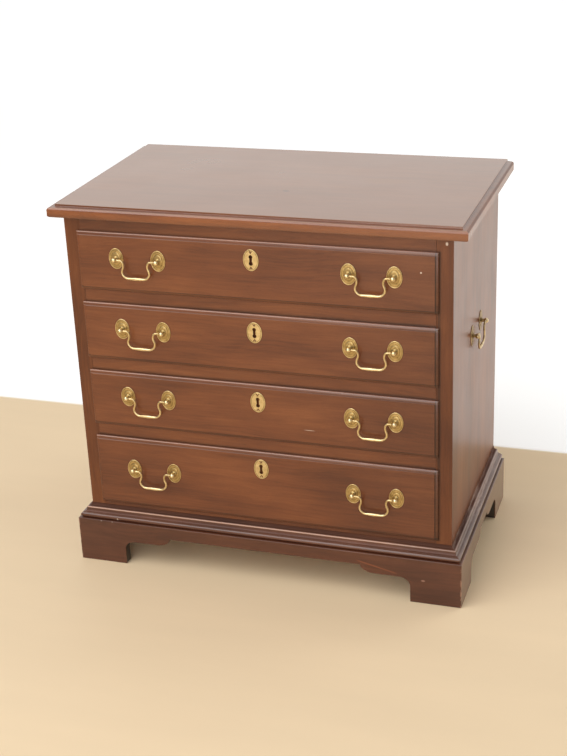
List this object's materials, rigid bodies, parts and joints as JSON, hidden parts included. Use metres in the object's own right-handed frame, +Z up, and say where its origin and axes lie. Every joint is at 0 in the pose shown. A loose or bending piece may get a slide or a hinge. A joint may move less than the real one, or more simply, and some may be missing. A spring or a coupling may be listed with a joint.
{
  "type": "bachelor's chest",
  "caption": "Low chest of drawers on a bracket base, with lipped drawer fronts, a moulded top, swan-neck bail handles and side carrying handles.",
  "frame": {"origin": "on the floor, under the middle of the chest's box", "axes": "+X to the right seen from the front, +Y to the back, +Z up"},
  "size_m": [0.762, 0.4552, 0.716],
  "materials": {
    "front_wood": "satin mahogany with a figured, level grain",
    "case_wood": "satin mahogany",
    "base_wood": "satin mahogany, redder, with worn corners",
    "inner_wood": "bare pale secondary wood",
    "brass": "satin antique brass"
  },
  "bodies": {
    "case": {"top_board": "case_wood", "case_side_left": "case_wood", "case_side_right": "case_wood", "back_panel": "inner_wood", "top_rail": "case_wood", "divider_1": "case_wood", "divider_2": "case_wood", "divider_3": "case_wood", "bottom_frame": "case_wood", "base_front": "base_wood", "base_left": "base_wood", "base_right": "base_wood", "base_back": "base_wood", "base_moulding": "base_wood", "side_left_post_front": "brass", "side_left_post_rear": "brass", "side_right_post_front": "brass", "side_right_post_rear": "brass"},
    "drawer_1": {"drawer_1_front": "front_wood", "drawer_1_box": "inner_wood", "drawer_1_bottom": "inner_wood", "drawer_1_escutcheon": "brass", "drawer_1_left_post_left": "brass", "drawer_1_left_post_right": "brass", "drawer_1_right_post_left": "brass", "drawer_1_right_post_right": "brass"},
    "bail_1_left": {"drawer_1_left_bail": "brass"},
    "bail_1_right": {"drawer_1_right_bail": "brass"},
    "drawer_2": {"drawer_2_front": "front_wood", "drawer_2_box": "inner_wood", "drawer_2_bottom": "inner_wood", "drawer_2_escutcheon": "brass", "drawer_2_left_post_left": "brass", "drawer_2_left_post_right": "brass", "drawer_2_right_post_left": "brass", "drawer_2_right_post_right": "brass"},
    "bail_2_left": {"drawer_2_left_bail": "brass"},
    "bail_2_right": {"drawer_2_right_bail": "brass"},
    "drawer_3": {"drawer_3_front": "front_wood", "drawer_3_box": "inner_wood", "drawer_3_bottom": "inner_wood", "drawer_3_escutcheon": "brass", "drawer_3_left_post_left": "brass", "drawer_3_left_post_right": "brass", "drawer_3_right_post_left": "brass", "drawer_3_right_post_right": "brass"},
    "bail_3_left": {"drawer_3_left_bail": "brass"},
    "bail_3_right": {"drawer_3_right_bail": "brass"},
    "drawer_4": {"drawer_4_front": "front_wood", "drawer_4_box": "inner_wood", "drawer_4_bottom": "inner_wood", "drawer_4_escutcheon": "brass", "drawer_4_left_post_left": "brass", "drawer_4_left_post_right": "brass", "drawer_4_right_post_left": "brass", "drawer_4_right_post_right": "brass"},
    "bail_4_left": {"drawer_4_left_bail": "brass"},
    "bail_4_right": {"drawer_4_right_bail": "brass"},
    "bail_side_left": {"side_left_bail": "brass"},
    "bail_side_right": {"side_right_bail": "brass"}
  },
  "joints": [
    {"name": "drawer_1_slide", "type": "slide", "parent": "case", "child": "drawer_1", "axis": [0, -1, 0], "range_m": [0, 0.3]},
    {"name": "drawer_1_left_bail_swing", "type": "hinge", "parent": "drawer_1", "child": "bail_1_left", "pos_m": [-0.21483, -0.2226, 0.62292], "axis": [-1, 0, 0], "range_deg": [-12, 100]},
    {"name": "drawer_1_right_bail_swing", "type": "hinge", "parent": "drawer_1", "child": "bail_1_right", "pos_m": [0.21483, -0.2226, 0.62292], "axis": [-1, 0, 0], "range_deg": [-12, 100]},
    {"name": "drawer_2_slide", "type": "slide", "parent": "case", "child": "drawer_2", "axis": [0, -1, 0], "range_m": [0, 0.3]},
    {"name": "drawer_2_left_bail_swing", "type": "hinge", "parent": "drawer_2", "child": "bail_2_left", "pos_m": [-0.21483, -0.2226, 0.48797], "axis": [-1, 0, 0], "range_deg": [-12, 100]},
    {"name": "drawer_2_right_bail_swing", "type": "hinge", "parent": "drawer_2", "child": "bail_2_right", "pos_m": [0.21483, -0.2226, 0.48797], "axis": [-1, 0, 0], "range_deg": [-12, 100]},
    {"name": "drawer_3_slide", "type": "slide", "parent": "case", "child": "drawer_3", "axis": [0, -1, 0], "range_m": [0, 0.3]},
    {"name": "drawer_3_left_bail_swing", "type": "hinge", "parent": "drawer_3", "child": "bail_3_left", "pos_m": [-0.21483, -0.2226, 0.35301], "axis": [-1, 0, 0], "range_deg": [-12, 100]},
    {"name": "drawer_3_right_bail_swing", "type": "hinge", "parent": "drawer_3", "child": "bail_3_right", "pos_m": [0.21483, -0.2226, 0.35301], "axis": [-1, 0, 0], "range_deg": [-12, 100]},
    {"name": "drawer_4_slide", "type": "slide", "parent": "case", "child": "drawer_4", "axis": [0, -1, 0], "range_m": [0, 0.3]},
    {"name": "drawer_4_left_bail_swing", "type": "hinge", "parent": "drawer_4", "child": "bail_4_left", "pos_m": [-0.21483, -0.2226, 0.20231], "axis": [-1, 0, 0], "range_deg": [-12, 100]},
    {"name": "drawer_4_right_bail_swing", "type": "hinge", "parent": "drawer_4", "child": "bail_4_right", "pos_m": [0.21483, -0.2226, 0.20231], "axis": [-1, 0, 0], "range_deg": [-12, 100]},
    {"name": "side_left_bail_swing", "type": "hinge", "parent": "case", "child": "bail_side_left", "pos_m": [-0.36525, 0.0051, 0.45679], "axis": [0, 1, 0], "range_deg": [-12, 100]},
    {"name": "side_right_bail_swing", "type": "hinge", "parent": "case", "child": "bail_side_right", "pos_m": [0.36525, 0.0051, 0.45679], "axis": [0, -1, 0], "range_deg": [-12, 100]}
  ]
}
